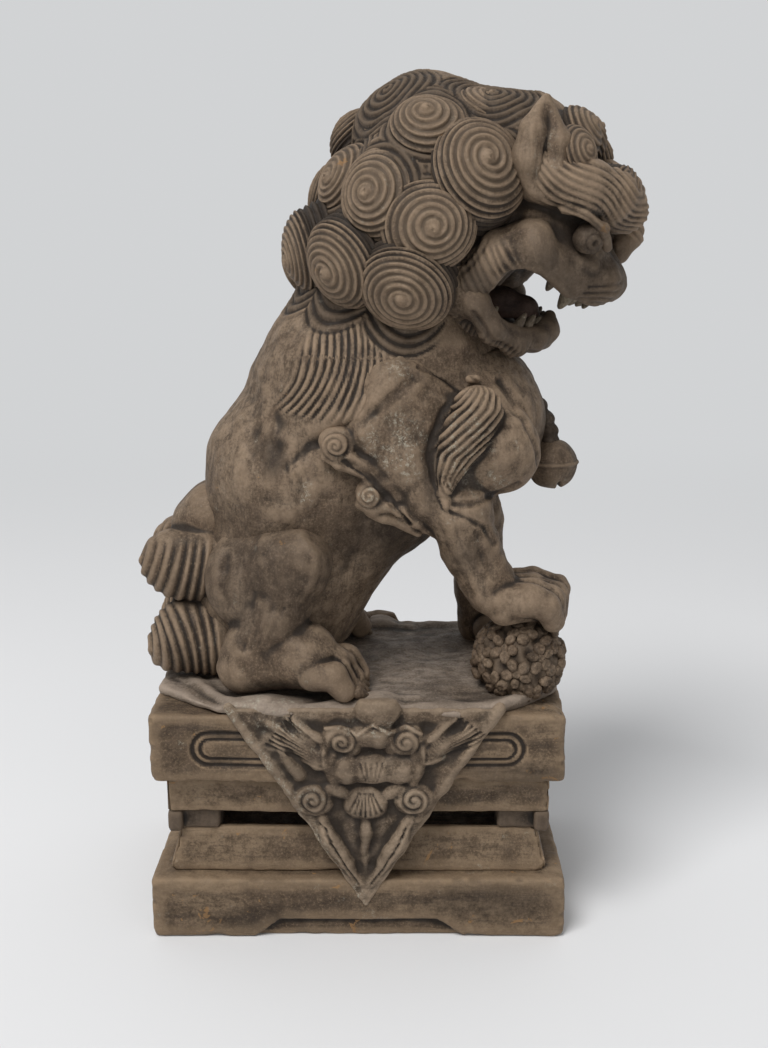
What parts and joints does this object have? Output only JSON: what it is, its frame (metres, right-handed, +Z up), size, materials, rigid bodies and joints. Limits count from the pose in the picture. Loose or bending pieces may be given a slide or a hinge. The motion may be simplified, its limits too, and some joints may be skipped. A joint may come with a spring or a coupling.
{
  "type": "foo dog statue",
  "caption": "Carved wooden guardian lion with curled mane, paw on a brocade ball and bell collar, seated on a pierced rectangular plinth with a draped cloth.",
  "frame": {"origin": "centre of the plinth's flat underside", "axes": "+Z up, +X the way the lion faces, +Y to the lion's left"},
  "size_m": [0.2236, 0.132, 0.3811],
  "materials": {
    "carved_wood": "dry weathered wood, matt, with worn remains of a pale ground coat and dark dirt in the cuts",
    "plinth_wood": "dry weathered boards, matt, blotched with old varnish and small chips down to bare wood",
    "dark_wood": "dark sooty wood, matt",
    "draped_cloth": "carved wood cloth, matt, worn greyer on its top with pale paint left in the folds",
    "bare_peg": "plain cut hardwood, dry",
    "tooth_paint": "carved teeth with the remains of pale paint, matt",
    "tongue_paint": "carved tongue with a trace of old red paint, matt"
  },
  "bodies": {
    "root": {"torso": "carved_wood", "head_block": "carved_wood", "lower_jaw": "carved_wood", "ear_right": "carved_wood", "ear_left": "carved_wood", "eye_right": "carved_wood", "eye_left": "carved_wood", "foreleg_right": "carved_wood", "foreleg_left": "carved_wood", "hindleg_right": "carved_wood", "hindleg_left": "carved_wood", "tail": "carved_wood", "brocade_ball": "carved_wood", "bell": "carved_wood", "base_slab": "plinth_wood", "skirt_right": "plinth_wood", "skirt_left": "plinth_wood", "skirt_front": "plinth_wood", "skirt_back": "plinth_wood", "rail_right": "plinth_wood", "rail_left": "plinth_wood", "rail_front": "plinth_wood", "rail_back": "plinth_wood", "top_slab": "plinth_wood", "post_front_right": "dark_wood", "post_front_left": "dark_wood", "post_back_right": "dark_wood", "post_back_left": "dark_wood", "collar": "dark_wood", "collar_tassel": "dark_wood", "ground_cloth": "draped_cloth", "drape_right": "draped_cloth", "drape_left": "draped_cloth", "base_pegs": "bare_peg", "slab_pegs": "bare_peg", "neck_tenon": "bare_peg", "seat_tenon": "bare_peg", "shoulder_tenons": "bare_peg", "hip_tenons": "bare_peg", "tail_tenon": "bare_peg", "foot_tenon": "bare_peg", "ball_peg": "bare_peg", "bell_peg": "bare_peg", "upper_teeth": "tooth_paint", "lower_teeth": "tooth_paint", "tongue": "tongue_paint"}
  },
  "joints": []
}
